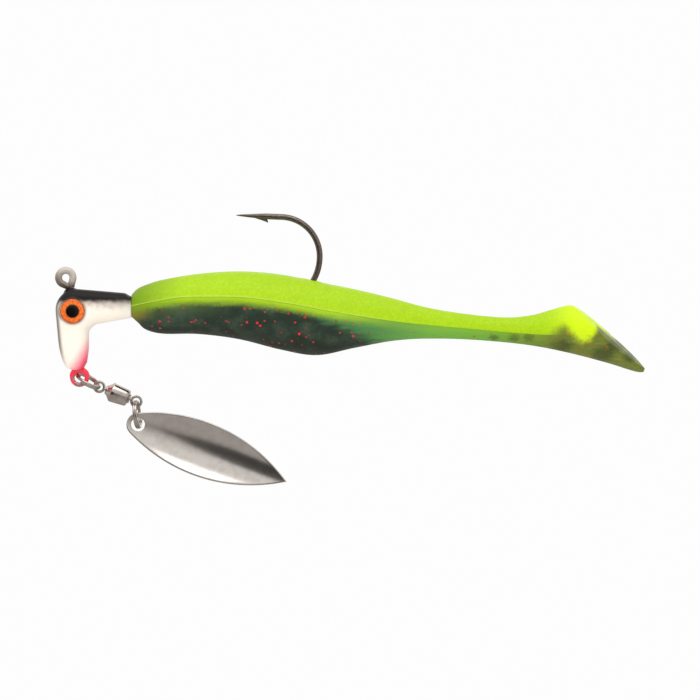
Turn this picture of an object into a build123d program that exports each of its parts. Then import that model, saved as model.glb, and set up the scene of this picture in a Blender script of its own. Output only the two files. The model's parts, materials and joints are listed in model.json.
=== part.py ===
from build123d import *
from math import cos, radians, sin, sqrt
import os

# A soft swimbait on an underspin jig, in millimetres.
# The origin is the centre of the hole in the line eye. +X runs towards the tail,
# +Z is up, where the hook point is, and +Y is the far side.
# A plane written here as side_plane has its own x and y in the XZ plane of the jig
# and its normal towards -Y.

os.makedirs("parts", exist_ok=True)

# ---- driving sizes: hook ----
hook_wire_radius = 0.52
line_eye_hole_radius = 0.70
line_eye_wire_radius = 0.60
line_eye_ring_radius = 1.25
stem_angle = -65.0
shank_z = -4.9
heel_radius = 1.3
shank_end_x = 35.4
lower_bend_radius = 8.6
upper_bend_radius = 6.8
upper_bend_turn = 87.8
point_straight_length = 2.7
point_cone_length = 4.9
point_tip_radius = 0.06
barb_length = 1.9
barb_stand_off = 0.62
barb_thickness = 0.36
barb_rake = 0.38

# ---- driving sizes: cast head ----
head_half_thickness = 2.95
forehead_half_thickness = 2.45
neck_half_thickness = 2.15
head_edge_radius = 1.8
throat_corner = (3.95, -8.3)
chin_back_corner = (4.05, -15.75)
chin_front_corner = (-0.75, -16.35)
forehead_corner = (-2.1, -1.65)
head_corner_radii = [1.9, 1.95, 2.5, 3.6]
head_front_x = -3.0
head_widest_x = 2.6
neck_overrun = 1.0
neck_end_x = 11.45
neck_top_z = -2.78
neck_bottom_z = -6.95
collar_radius = 1.35
collar_length = 5.6
collar_barb_radius = 1.95
collar_barb_length = 1.5
cast_gap = 0.01
collar_tail_radius = 1.0

# ---- driving sizes: eyes ----
eye_x = 1.32
eye_z = -5.87
iris_radius = 2.15
pupil_radius = 1.13
eye_boss_rim = 0.16
eye_pocket_depth = 0.20
iris_height = 0.48
pupil_height = 0.62
eye_edge_radius = 0.2
eye_gap = 0.02

# ---- driving sizes: wire eyelet under the chin ----
eyelet_x = 2.39
eyelet_z = -17.3
eyelet_ring_radius = 1.20
eyelet_wire_radius = 0.30
eyelet_stem_length = 4.4
eyelet_foot_length = 1.9
eyelet_foot_bend = 0.6
eyelet_foot_angle = 140.0

# ---- driving sizes: split rings ----
split_ring_radius = 2.25
split_ring_wire_radius = 0.26
split_ring_coil_overlap = 0.02
front_ring_angle = -30.0
front_ring_tilt = 13.0
front_ring_offset = 1.50
front_ring_entry = -0.20
front_ring_drop = 0.10
rear_ring_angle = -86.0
rear_ring_tilt = 8.0

# ---- driving sizes: swivel ----
swivel_angle = -21.5
swivel_eye_hole_radius = 0.62
swivel_eye_wire_radius = 0.24
swivel_eye_stand_off = 0.08
swivel_bore_gap = 0.05
barrel_nose_radius = 0.80
barrel_front_radius = 1.74
barrel_rear_radius = 1.47
barrel_end_radius = 0.85
barrel_nose_length = 1.15
barrel_body_length = 3.00
barrel_end_length = 0.40
barrel_edge_radius = 0.18
barrel_wall = 0.42
rivet_radius = 0.66
rivet_length = 0.45
rivet_gap = 0.10

# ---- driving sizes: blade ----
blade_angle = -21.0
blade_length = 29.7
blade_half_width = 4.6
blade_widest_at = 14.2
blade_thickness = 0.45
blade_nose_radius = 2.0
blade_hole_radius = 1.2
blade_hang = 0.50
blade_cup_radius = 7.4
blade_end_lift = 1.2
blade_nose_angle = 118.0

# ---- driving sizes: soft bait ----
bait_length = 88.9
bait_channel_gap = 0.03
tail_hinge_share = 0.574
tail_knuckle_radius = 2.85
tail_knuckle_gap = 0.28
# Each section of the bait: how far along it its top point is and that point's height,
# the same for its bottom point, and its half width.
bait_sections = [
    (0.000, -2.95, 0.000, -6.85, 2.15),
    (0.011, -1.95, 0.011, -7.75, 2.90),
    (0.028, -1.25, 0.028, -9.05, 3.60),
    (0.062, -0.35, 0.062, -9.75, 4.40),
    (0.130, 0.65, 0.130, -9.80, 5.00),
    (0.209, 1.08, 0.209, -10.70, 5.30),
    (0.290, 0.55, 0.290, -12.50, 5.30),
    (0.359, -0.70, 0.359, -13.47, 5.00),
    (0.434, -2.00, 0.434, -12.20, 4.10),
    (0.507, -3.55, 0.507, -11.00, 3.10),
    (0.574, -5.15, 0.574, -10.60, 2.30),
    (0.647, -6.25, 0.647, -10.70, 1.80),
    (0.730, -6.90, 0.730, -11.25, 1.80),
    (0.781, -6.48, 0.794, -12.00, 2.20),
    (0.818, -5.55, 0.861, -13.25, 3.10),
    (0.845, -4.82, 0.927, -14.80, 4.10),
    (0.864, -5.15, 0.997, -16.40, 4.70),
]
# The line where the back's plastic meets the belly's: how far along, and its height.
parting_line = [
    (-0.080, -6.60),
    (0.022, -4.63),
    (0.111, -3.43),
    (0.201, -3.43),
    (0.290, -4.33),
    (0.383, -5.81),
    (0.520, -7.68),
    (0.650, -8.80),
    (0.801, -9.90),
    (0.930, -10.00),
    (1.050, -10.00),
]
cut_reach = 30.0

# ---- places worked out from the sizes ----
hole_centre = Vector(eyelet_x, 0, eyelet_z)
to_far_side = Vector(0, 1, 0)
to_near_side = Vector(0, -1, 0)


def along(angle):
    """The direction in the XZ plane at this angle above +X."""
    return Vector(cos(radians(angle)), 0, sin(radians(angle)))


def across(angle):
    """The direction in the XZ plane a quarter turn above along(angle)."""
    return Vector(-sin(radians(angle)), 0, cos(radians(angle)))


def side_plane(origin, angle):
    """A plane that faces the near side, its x at this angle above +X."""
    return Plane(origin=origin, x_dir=along(angle), z_dir=to_near_side)


def bait_x(share):
    """The x of a place on the bait, given as a share of its length."""
    return neck_end_x + share * bait_length


def ring_chord():
    """From the front ring's centre to where it crosses the eyelet, along the ring's angle."""
    return sqrt(split_ring_radius**2 - front_ring_offset**2)


front_ring_far = (
    to_far_side * cos(radians(front_ring_tilt))
    + across(front_ring_angle) * sin(radians(front_ring_tilt))
)
front_ring_centre = (
    hole_centre
    + along(front_ring_angle) * (front_ring_entry + ring_chord())
    + front_ring_far * front_ring_offset
    - across(front_ring_angle) * front_ring_drop
)
front_link = front_ring_centre + along(front_ring_angle) * split_ring_radius

swivel_axis = along(swivel_angle)
swivel_eye_ring_radius = swivel_eye_hole_radius + swivel_eye_wire_radius
barrel_start = swivel_eye_ring_radius + swivel_eye_wire_radius + swivel_eye_stand_off
barrel_length = barrel_nose_length + barrel_body_length + barrel_end_length
rear_link_distance = 2 * barrel_start + barrel_length
rear_link = front_link + swivel_axis * rear_link_distance

rear_ring_centre = rear_link + along(rear_ring_angle) * split_ring_radius
rear_ring_far = (
    to_far_side * cos(radians(rear_ring_tilt))
    + across(rear_ring_angle) * sin(radians(rear_ring_tilt))
)
blade_link = rear_ring_centre + along(rear_ring_angle) * split_ring_radius
blade_hole_centre = blade_link - along(rear_ring_angle) * blade_hang

tail_hinge_x = bait_x(tail_hinge_share)


def sweep_wire(path, radius, mode=Mode.ADD):
    """Runs a round wire of this radius along path in the open part."""
    with BuildSketch(Plane(origin=path @ 0, z_dir=path % 0)) as section:
        Circle(radius)
    sweep(section.sketch, path=path, mode=mode)


def ring_of_wire(plane, ring_radius, wire_radius, mode=Mode.ADD):
    """Adds a closed ring of wire that lies in plane, to the open part."""
    ring_axis = Axis(plane.origin, plane.z_dir)
    section_plane = Plane(origin=plane.origin, x_dir=plane.x_dir, z_dir=plane.y_dir)
    with BuildSketch(section_plane) as section:
        with Locations((ring_radius, 0)):
            Circle(wire_radius)
    revolve(section.sketch, axis=ring_axis, mode=mode)


# ---- paths of the bent wires ----
stem_start = along(stem_angle) * line_eye_ring_radius
stem_run = (shank_z - stem_start.Z) / along(stem_angle).Z
shank_corner_x = stem_start.X + along(stem_angle).X * stem_run
lower_bend_centre = (shank_end_x, shank_z + lower_bend_radius)
upper_bend_centre = (
    shank_end_x + lower_bend_radius - upper_bend_radius,
    shank_z + lower_bend_radius,
)
point_angle = 90 + upper_bend_turn
point_direction = along(point_angle)
point_start = (
    Vector(upper_bend_centre[0], 0, upper_bend_centre[1])
    + along(upper_bend_turn) * upper_bend_radius
)
cone_start = point_start + point_direction * point_straight_length
hook_tip = cone_start + point_direction * point_cone_length

with BuildLine(Plane.XZ) as hook_path:
    FilletPolyline(
        (stem_start.X, stem_start.Z),
        (shank_corner_x, shank_z),
        (shank_end_x, shank_z),
        radius=heel_radius,
    )
    CenterArc(lower_bend_centre, lower_bend_radius, -90, 90)
    CenterArc(upper_bend_centre, upper_bend_radius, 0, upper_bend_turn)
    Line((point_start.X, point_start.Z), (cone_start.X, cone_start.Z))
hook_wire = hook_path.wire()

eyelet_top_z = eyelet_z + eyelet_ring_radius
stem_end = Vector(eyelet_x, 0, eyelet_top_z + eyelet_stem_length)
foot_end = stem_end + along(eyelet_foot_angle) * eyelet_foot_length
with BuildLine(Plane.XZ) as eyelet_path:
    FilletPolyline(
        (eyelet_x, eyelet_top_z),
        (stem_end.X, stem_end.Z),
        (foot_end.X, foot_end.Z),
        radius=eyelet_foot_bend,
    )
eyelet_wire = eyelet_path.wire()

# ---- hook: line eye, shank, bend, barb and point in one wire ----
with BuildPart() as hook:
    sweep_wire(hook_wire, hook_wire_radius)
    ring_of_wire(Plane.XZ, line_eye_ring_radius, line_eye_wire_radius)
    with BuildSketch(Plane(origin=cone_start, z_dir=point_direction)):
        Circle(hook_wire_radius)
    with BuildSketch(Plane(origin=hook_tip, z_dir=point_direction)):
        Circle(point_tip_radius)
    loft()
    with BuildSketch(side_plane(cone_start, point_angle)):
        with BuildLine():
            Polyline(
                (0, 0),
                (barb_length, 0),
                (-barb_rake, hook_wire_radius + barb_stand_off),
                close=True,
            )
        make_face()
    extrude(amount=barb_thickness / 2, both=True)
    with BuildSketch(Plane.XZ):
        Circle(line_eye_hole_radius)
    extrude(amount=line_eye_wire_radius, both=True, mode=Mode.SUBTRACT)
hook.part.label = "hook"
export_step(hook.part, "parts/hook.step")

# ---- spinner eyelet: a loop of wire with a bent foot that the head is cast round ----
with BuildPart() as spinner_eyelet:
    sweep_wire(eyelet_wire, eyelet_wire_radius)
    ring_of_wire(side_plane(hole_centre, 0), eyelet_ring_radius, eyelet_wire_radius)
spinner_eyelet.part.label = "spinner_eyelet"
export_step(spinner_eyelet.part, "parts/spinner_eyelet.step")


collar_plane = side_plane(Vector(neck_end_x, 0, shank_z), 0)
shank_centre_line = Axis((neck_end_x, 0, shank_z), (1, 0, 0))


def collar_profile(gap):
    """Draws half of the barbed collar's outline, from the shank's centre line outwards."""
    barb_start = collar_length - collar_barb_length
    with BuildLine() as outline:
        Polyline(
            (0, 0),
            (0, collar_radius + gap),
            (barb_start - gap, collar_radius + gap),
            (barb_start - gap, collar_barb_radius + gap),
            (collar_length + gap, collar_tail_radius + gap),
            (collar_length + gap, 0),
            close=True,
        )
    make_face(outline.edges())


# ---- head: cast metal, an arm along the shank and a chin that hangs from it ----
eye_face_y = head_half_thickness + eye_boss_rim
with BuildPart() as jig_head:
    with BuildSketch(Plane.XZ):
        with BuildLine():
            head_edge = FilletPolyline(
                (neck_end_x, neck_bottom_z),
                throat_corner,
                chin_back_corner,
                chin_front_corner,
                forehead_corner,
                (neck_end_x, neck_top_z),
                radius=head_corner_radii,
            )
            Line(head_edge @ 0, head_edge @ 1)
        make_face()
    extrude(amount=head_half_thickness * 2, both=True)
    with BuildSketch(Plane.XY):
        with BuildLine():
            near_side = ThreePointArc(
                (head_front_x, -forehead_half_thickness),
                (head_widest_x, -head_half_thickness),
                (neck_end_x + neck_overrun, -neck_half_thickness),
            )
            far_side = ThreePointArc(
                (head_front_x, forehead_half_thickness),
                (head_widest_x, head_half_thickness),
                (neck_end_x + neck_overrun, neck_half_thickness),
            )
            Line(near_side @ 0, far_side @ 0)
            Line(near_side @ 1, far_side @ 1)
        make_face()
    extrude(amount=cut_reach, both=True, mode=Mode.INTERSECT)
    side_faces = faces().filter_by(GeomType.CYLINDER).sort_by(Axis.Y)
    rim_edges = side_faces[0].edges() + side_faces[-1].edges()
    fillet([edge for edge in rim_edges if edge.center().X < neck_end_x - cast_gap], head_edge_radius)
    with BuildSketch(Plane.XZ):
        with Locations((eye_x, eye_z)):
            Circle(iris_radius + eye_boss_rim)
    extrude(amount=eye_face_y, both=True)
    for side in (-1, 1):
        pocket_floor = side * (eye_face_y - eye_pocket_depth)
        with BuildSketch(Plane.XZ.offset(-pocket_floor)):
            with Locations((eye_x, eye_z)):
                Circle(iris_radius + eye_gap)
        extrude(amount=-side * 2 * eye_pocket_depth, mode=Mode.SUBTRACT)
    with BuildSketch(collar_plane):
        collar_profile(0)
    revolve(axis=shank_centre_line)
    sweep_wire(hook_wire, hook_wire_radius + cast_gap, mode=Mode.SUBTRACT)
    ring_of_wire(Plane.XZ, line_eye_ring_radius, line_eye_wire_radius + cast_gap, Mode.SUBTRACT)
    sweep_wire(eyelet_wire, eyelet_wire_radius + cast_gap, mode=Mode.SUBTRACT)
    ring_of_wire(
        side_plane(hole_centre, 0),
        eyelet_ring_radius,
        eyelet_wire_radius + cast_gap,
        Mode.SUBTRACT,
    )
jig_head.part.label = "jig_head"
export_step(jig_head.part, "parts/jig_head.step")

# ---- eyes: an iris disc in each pocket, with a pupil button through its middle ----
for side, side_name in ((-1, "near"), (1, "far")):
    eye_seat = Plane(
        origin=(eye_x, side * (eye_face_y - eye_pocket_depth), eye_z),
        x_dir=(1, 0, 0),
        z_dir=(0, side, 0),
    )
    with BuildPart() as iris:
        with BuildSketch(eye_seat):
            Circle(iris_radius)
            Circle(pupil_radius + eye_gap, mode=Mode.SUBTRACT)
        extrude(amount=iris_height)
        outer_rim = iris.edges().group_by(Axis.Y)[0 if side < 0 else -1].sort_by(SortBy.LENGTH)[-1]
        fillet(outer_rim, eye_edge_radius)
    iris.part.label = f"iris_{side_name}"
    export_step(iris.part, f"parts/iris_{side_name}.step")
    with BuildPart() as pupil:
        with BuildSketch(eye_seat):
            Circle(pupil_radius)
        extrude(amount=pupil_height)
        fillet(pupil.edges().group_by(Axis.Y)[0 if side < 0 else -1], eye_edge_radius)
    pupil.part.label = f"pupil_{side_name}"
    export_step(pupil.part, f"parts/pupil_{side_name}.step")


def split_ring(plane):
    """A split ring in plane: two coils of wire side by side, which lie against each other."""
    half_pitch = split_ring_wire_radius - split_ring_coil_overlap / 2
    with BuildPart() as ring:
        for offset in (-half_pitch, half_pitch):
            ring_of_wire(plane.offset(offset), split_ring_radius, split_ring_wire_radius)
    return ring.part


# ---- front split ring: through the eyelet and the swivel's front eye ----
with BuildPart() as front_split_ring:
    front_ring_normal = along(front_ring_angle).cross(front_ring_far)
    add(split_ring(Plane(front_ring_centre, along(front_ring_angle), front_ring_normal)))
front_split_ring.part.label = "front_split_ring"
export_step(front_split_ring.part, "parts/front_split_ring.step")

# ---- rear split ring: through the swivel's rear eye and the blade ----
with BuildPart() as rear_split_ring:
    rear_ring_normal = along(rear_ring_angle).cross(rear_ring_far)
    add(split_ring(Plane(rear_ring_centre, along(rear_ring_angle), rear_ring_normal)))
rear_split_ring.part.label = "rear_split_ring"
export_step(rear_split_ring.part, "parts/rear_split_ring.step")

# ---- swivel barrel: a hollow turned shell with a bore at each end ----
swivel_plane = side_plane(front_link, swivel_angle)
swivel_centre_line = Axis(front_link, swivel_axis)
body_start = barrel_start + barrel_nose_length
body_end = body_start + barrel_body_length
barrel_end = barrel_start + barrel_length
cavity_radius = rivet_radius + rivet_gap
bore_radius = swivel_eye_wire_radius + swivel_bore_gap
cavity_start = barrel_start + barrel_wall
cavity_end = barrel_end - barrel_wall
with BuildPart() as swivel_barrel:
    with BuildSketch(swivel_plane):
        with BuildLine():
            Polyline(
                (barrel_start, 0),
                (barrel_start, barrel_nose_radius),
                (body_start, barrel_front_radius),
                (body_end, barrel_rear_radius),
                (barrel_end, barrel_end_radius),
                (barrel_end, 0),
                close=True,
            )
        make_face()
        shoulders = vertices().filter_by(
            lambda v: min(barrel_rear_radius, barrel_front_radius) - 0.01
            < abs((Vector(v) - front_link).dot(across(swivel_angle)))
        )
        fillet(shoulders, barrel_edge_radius)
    revolve(axis=swivel_centre_line)
    with BuildSketch(swivel_plane):
        with BuildLine():
            Polyline(
                (barrel_start - 1, 0),
                (barrel_start - 1, bore_radius),
                (cavity_start, bore_radius),
                (cavity_start, cavity_radius),
                (cavity_end, cavity_radius),
                (cavity_end, bore_radius),
                (barrel_end + 1, bore_radius),
                (barrel_end + 1, 0),
                close=True,
            )
        make_face()
    revolve(axis=swivel_centre_line, mode=Mode.SUBTRACT)
swivel_barrel.part.label = "swivel_barrel"
export_step(swivel_barrel.part, "parts/swivel_barrel.step")

# ---- swivel eyes: a loop on a stem whose riveted end turns inside the barrel ----
eye_ends = (
    ("swivel_front_eye", front_link, swivel_angle),
    ("swivel_rear_eye", rear_link, swivel_angle + 180),
)
for eye_name, link, stem_direction in eye_ends:
    eye_plane = side_plane(link, stem_direction)
    rivet_start = cavity_start + rivet_gap
    with BuildPart() as swivel_eye:
        ring_of_wire(eye_plane, swivel_eye_ring_radius, swivel_eye_wire_radius)
        with BuildSketch(eye_plane):
            with BuildLine():
                Polyline(
                    (swivel_eye_ring_radius, 0),
                    (swivel_eye_ring_radius, swivel_eye_wire_radius),
                    (rivet_start, swivel_eye_wire_radius),
                    (rivet_start, rivet_radius),
                    (rivet_start + rivet_length, rivet_radius),
                    (rivet_start + rivet_length, 0),
                    close=True,
                )
            make_face()
        revolve(axis=Axis(link, along(stem_direction)))
    swivel_eye.part.label = eye_name
    export_step(swivel_eye.part, f"parts/{eye_name}.step")

# ---- blade: a willow leaf of thin sheet, cupped towards the near side ----
blade_plane = side_plane(blade_hole_centre, blade_angle)
blade_edge_plane = Plane(
    origin=blade_hole_centre,
    x_dir=along(blade_angle),
    z_dir=across(blade_angle) * -1,
)
blade_start = -blade_nose_radius
blade_tip = blade_start + blade_length
cup_middle = blade_start + blade_length / 2
cup_curve = (blade_length / 2) ** 2 / (2 * blade_end_lift)
hole_drop = cup_middle**2 / (2 * cup_curve)
cup_depth = -hole_drop
with BuildPart() as blade:
    with BuildSketch(blade_edge_plane):
        with BuildLine():
            inner = ThreePointArc(
                (blade_start - 1, cup_depth + blade_end_lift),
                (cup_middle, cup_depth),
                (blade_tip + 1, cup_depth + blade_end_lift),
            )
            outer = ThreePointArc(
                (blade_start - 1, cup_depth + blade_end_lift - blade_thickness),
                (cup_middle, cup_depth - blade_thickness),
                (blade_tip + 1, cup_depth + blade_end_lift - blade_thickness),
            )
            Line(inner @ 0, outer @ 0)
            Line(inner @ 1, outer @ 1)
        make_face()
    cup_axis_origin = blade_hole_centre + to_near_side * (cup_depth + blade_cup_radius)
    revolve(axis=Axis(cup_axis_origin, along(blade_angle)))
    with BuildSketch(blade_plane):
        with BuildLine():
            nose_x = blade_nose_radius * cos(radians(blade_nose_angle))
            nose_y = blade_nose_radius * sin(radians(blade_nose_angle))
            widest_x = blade_start + blade_widest_at
            ThreePointArc((nose_x, nose_y), (blade_start, 0), (nose_x, -nose_y))
            ThreePointArc((nose_x, nose_y), (widest_x, blade_half_width), (blade_tip, 0))
            ThreePointArc((nose_x, -nose_y), (widest_x, -blade_half_width), (blade_tip, 0))
        make_face()
    extrude(amount=blade_half_width, both=True, mode=Mode.INTERSECT)
    with BuildSketch(blade_plane):
        Circle(blade_hole_radius)
    extrude(amount=blade_half_width, both=True, mode=Mode.SUBTRACT)
blade.part.label = "blade"
export_step(blade.part, "parts/blade.step")

# ---- soft bait: one form, hollowed for the hook and collar, then cut in four ----
with BuildPart() as bait_form:
    for top_share, top_z, bottom_share, bottom_z, half_width in bait_sections:
        top = Vector(bait_x(top_share), 0, top_z)
        bottom = Vector(bait_x(bottom_share), 0, bottom_z)
        drop = bottom - top
        section_plane = Plane(
            origin=(top + bottom) * 0.5,
            x_dir=drop,
            z_dir=drop.cross(to_far_side),
        )
        with BuildSketch(section_plane):
            Ellipse(drop.length / 2, half_width)
    loft()
    sweep_wire(hook_wire, hook_wire_radius + bait_channel_gap, mode=Mode.SUBTRACT)
    with BuildSketch(collar_plane):
        collar_profile(bait_channel_gap)
    revolve(axis=shank_centre_line, mode=Mode.SUBTRACT)


def half_bait_region(height):
    """Draws what lies between the parting line and this height."""
    line_points = [(bait_x(share), z) for share, z in parting_line]
    with BuildLine() as outline:
        parting = Spline(*line_points)
        Polyline(
            parting @ 1,
            ((parting @ 1).X, height),
            ((parting @ 0).X, height),
            parting @ 0,
        )
    make_face(outline.edges())


def tail_region(gap):
    """Draws the tail's part of the plan view, with its round knuckle this much larger."""
    with Locations((tail_hinge_x, 0)):
        Rectangle(bait_length, cut_reach, align=(Align.MIN, Align.CENTER))
        Circle(tail_knuckle_radius + gap)


def bait_piece(away_height, tail):
    """The back or the belly of the body or of the tail."""
    with BuildPart() as piece:
        add(bait_form.part)
        with BuildSketch(Plane.XZ):
            half_bait_region(away_height)
        extrude(amount=cut_reach, both=True, mode=Mode.SUBTRACT)
        with BuildSketch(Plane.XY):
            tail_region(0 if tail else tail_knuckle_gap)
        extrude(amount=cut_reach, both=True, mode=Mode.INTERSECT if tail else Mode.SUBTRACT)
    return piece.part


bait_pieces = (
    ("bait_back", -cut_reach, False),
    ("bait_belly", cut_reach, False),
    ("tail_back", -cut_reach, True),
    ("tail_belly", cut_reach, True),
)
for piece_name, away_height, is_tail in bait_pieces:
    with BuildPart() as bait_node:
        add(bait_piece(away_height, is_tail))
    bait_node.part.label = piece_name
    export_step(bait_node.part, f"parts/{piece_name}.step")
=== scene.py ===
import json
from math import cos, pi, radians, sin, sqrt

import bpy
import numpy as np
from mathutils import Matrix, Vector


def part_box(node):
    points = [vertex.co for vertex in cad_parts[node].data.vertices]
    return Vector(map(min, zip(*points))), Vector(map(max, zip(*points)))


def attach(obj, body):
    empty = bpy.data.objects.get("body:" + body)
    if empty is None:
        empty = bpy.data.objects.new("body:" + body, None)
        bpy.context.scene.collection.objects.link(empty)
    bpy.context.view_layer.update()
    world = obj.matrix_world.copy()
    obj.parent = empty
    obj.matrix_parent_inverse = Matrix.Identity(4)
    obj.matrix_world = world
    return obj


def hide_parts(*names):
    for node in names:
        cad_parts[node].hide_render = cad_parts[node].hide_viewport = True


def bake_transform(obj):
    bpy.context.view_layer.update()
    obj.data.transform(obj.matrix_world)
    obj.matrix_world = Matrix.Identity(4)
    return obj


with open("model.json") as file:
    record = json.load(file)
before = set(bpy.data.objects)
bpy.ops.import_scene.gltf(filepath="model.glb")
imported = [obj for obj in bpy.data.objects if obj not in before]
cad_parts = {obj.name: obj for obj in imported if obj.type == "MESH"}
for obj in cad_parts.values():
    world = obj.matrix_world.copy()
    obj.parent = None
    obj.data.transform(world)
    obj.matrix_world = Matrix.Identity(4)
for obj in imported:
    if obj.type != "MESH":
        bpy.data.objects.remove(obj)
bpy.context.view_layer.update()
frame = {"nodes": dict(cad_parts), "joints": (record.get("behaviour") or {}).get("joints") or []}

# The looks of a soft swimbait on an underspin jig. Blender works in metres; the sizes
# here are in millimetres and are multiplied by MM where a mesh is made.
MM = 0.001
nodes = frame["nodes"]
joints = {joint["name"]: joint for joint in frame["joints"]}

# ---------------------------------------------------------------- camera

camera = bpy.data.objects.new("camera", bpy.data.cameras.new("camera"))
bpy.context.scene.collection.objects.link(camera)
camera_distance = 0.90
framed_width = 0.1213
camera.data.sensor_width = 36
camera.data.lens = camera.data.sensor_width * camera_distance / framed_width
camera.data.clip_end = 10
camera.location = (0.04925, -camera_distance, -0.01256)
camera.rotation_euler = (pi / 2, 0, 0)
bpy.context.scene.camera = camera
bpy.context.scene.view_settings.view_transform = "Standard"


# ---------------------------------------------------------------- shader sums


class Sum:
    """A socket that can be added to, multiplied and so on, as a number."""

    def __init__(self, tree, socket):
        self.tree = tree
        self.socket = socket

    def math(self, operation, *operands, clamp=False):
        node = self.tree.nodes.new("ShaderNodeMath")
        node.operation = operation
        node.use_clamp = clamp
        for number, operand in enumerate(operands):
            put(self.tree, node.inputs[number], operand)
        return Sum(self.tree, node.outputs[0])

    def __add__(self, other):
        return self.math("ADD", self, other)

    def __sub__(self, other):
        return self.math("SUBTRACT", self, other)

    def __rsub__(self, other):
        return self.math("SUBTRACT", other, self)

    def __mul__(self, other):
        return self.math("MULTIPLY", self, other)

    def __truediv__(self, other):
        return self.math("DIVIDE", self, other)

    def __pow__(self, other):
        return self.math("POWER", self, other)

    __radd__ = __add__
    __rmul__ = __mul__

    def clear(self):
        """Held between nothing and one."""
        return self.math("ADD", self, 0.0, clamp=True)

    def ramp(self, low, high):
        """Eases from 0 at low to 1 at high."""
        node = self.tree.nodes.new("ShaderNodeMapRange")
        node.interpolation_type = "SMOOTHSTEP"
        for name, value in (("Value", self), ("From Min", low), ("From Max", high)):
            put(self.tree, node.inputs[name], value)
        return Sum(self.tree, node.outputs[0])

    def near(self, middle, width):
        """One at middle, and nothing this far from it."""
        return (1 - self.math("ABSOLUTE", self - middle) / width).clear()


def put(tree, socket, value):
    """Links a socket or writes a value into one."""
    if isinstance(value, Sum):
        tree.links.new(value.socket, socket)
    elif isinstance(value, bpy.types.NodeSocket):
        tree.links.new(value, socket)
    elif isinstance(value, tuple) and len(value) == 3 and socket.type == "RGBA":
        socket.default_value = (*value, 1)
    else:
        socket.default_value = value


class Finish:
    """A material, with one Principled shader and the nodes that vary it."""

    def __init__(self, name, **constants):
        self.material = bpy.data.materials.new(name)
        self.material.use_nodes = True
        self.tree = self.material.node_tree
        self.shader = self.tree.nodes["Principled BSDF"]
        for socket, value in constants.items():
            put(self.tree, self.shader.inputs[socket.replace("_", " ")], value)

    def node(self, kind, settings=None, inputs=None, output=0):
        """A node's output: its settings first, then its inputs."""
        node = self.tree.nodes.new("ShaderNode" + kind)
        for key, value in (settings or {}).items():
            setattr(node, key, value)
        for key, value in (inputs or {}).items():
            put(self.tree, node.inputs[key], value)
        return Sum(self.tree, node.outputs[output])

    def place(self):
        """The place on the piece in millimetres."""
        return self.scaled(self.node("TexCoord", output="Object"), 1000.0)

    def rest_place(self):
        """The place in millimetres when the bait is straight."""
        return self.attribute("straight_place", "Vector")

    def attribute(self, name, output):
        return self.node("Attribute", {"attribute_name": name}, output=output)

    def scaled(self, vector, factor):
        return self.node("VectorMath", {"operation": "SCALE"}, {0: vector, "Scale": factor})

    def parts(self, vector):
        """A vector's x, y and z."""
        node = self.tree.nodes.new("ShaderNodeSeparateXYZ")
        put(self.tree, node.inputs[0], vector)
        return [Sum(self.tree, socket) for socket in node.outputs]

    def stretched(self, vector, x, y, z):
        return self.node("VectorMath", {"operation": "MULTIPLY"}, {0: vector, 1: (x, y, z)})

    def moved(self, vector, x, y, z):
        return self.node("VectorMath", {"operation": "ADD"}, {0: vector, 1: (x, y, z)})

    def noise(self, vector, scale, detail=3.0, rough=0.55):
        inputs = {"Vector": vector, "Scale": scale, "Detail": detail, "Roughness": rough}
        return self.node("TexNoise", None, inputs, output="Fac")

    def mix(self, share, first, second):
        """Between two colours."""
        node = self.tree.nodes.new("ShaderNodeMix")
        node.data_type = "RGBA"
        put(self.tree, node.inputs[0], share)
        put(self.tree, node.inputs[6], first)
        put(self.tree, node.inputs[7], second)
        return Sum(self.tree, node.outputs[2])

    def bump(self, height, distance):
        inputs = {"Height": height, "Distance": distance * MM, "Strength": 1.0}
        put(self.tree, self.shader.inputs["Normal"], self.node("Bump", None, inputs))

    def set(self, **sockets):
        for socket, value in sockets.items():
            put(self.tree, self.shader.inputs[socket.replace("_", " ")], value)

    def on(self, piece, slot):
        piece.data.materials.clear()
        piece.data.materials.append(self.material)


def colour(text):
    """A linear colour from the usual six hexadecimal figures."""
    shares = [int(text[i : i + 2], 16) / 255 for i in (0, 2, 4)]
    return tuple(s / 12.92 if s <= 0.04045 else ((s + 0.055) / 1.055) ** 2.4 for s in shares)


# ---------------------------------------------------------------- modelling helpers


def nothing_selected():
    bpy.ops.object.select_all(action="DESELECT")


def only(piece):
    nothing_selected()
    piece.select_set(True)
    bpy.context.view_layer.objects.active = piece


def settle(piece, sharp=40):
    """Puts the place into the mesh, points the faces outwards and smooths the shading."""
    only(piece)
    bpy.ops.object.transform_apply(location=True, rotation=True, scale=True)
    bpy.ops.object.mode_set(mode="EDIT")
    bpy.ops.mesh.select_all(action="SELECT")
    bpy.ops.mesh.remove_doubles(threshold=1e-6)
    bpy.ops.mesh.normals_make_consistent(inside=False)
    bpy.ops.object.mode_set(mode="OBJECT")
    bpy.ops.object.shade_smooth_by_angle(angle=radians(sharp))
    return piece


def with_modifier(piece, kind, **settings):
    """Adds a modifier and applies it."""
    only(piece)
    modifier = piece.modifiers.new(kind.lower(), kind)
    for key, value in settings.items():
        setattr(modifier, key, value)
    bpy.ops.object.modifier_apply(modifier=modifier.name)
    return piece


def joined(name, pieces):
    """Several meshes as one."""
    nothing_selected()
    for piece in pieces:
        piece.select_set(True)
    bpy.context.view_layer.objects.active = pieces[0]
    bpy.ops.object.join()
    pieces[0].name = name
    return pieces[0]


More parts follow.
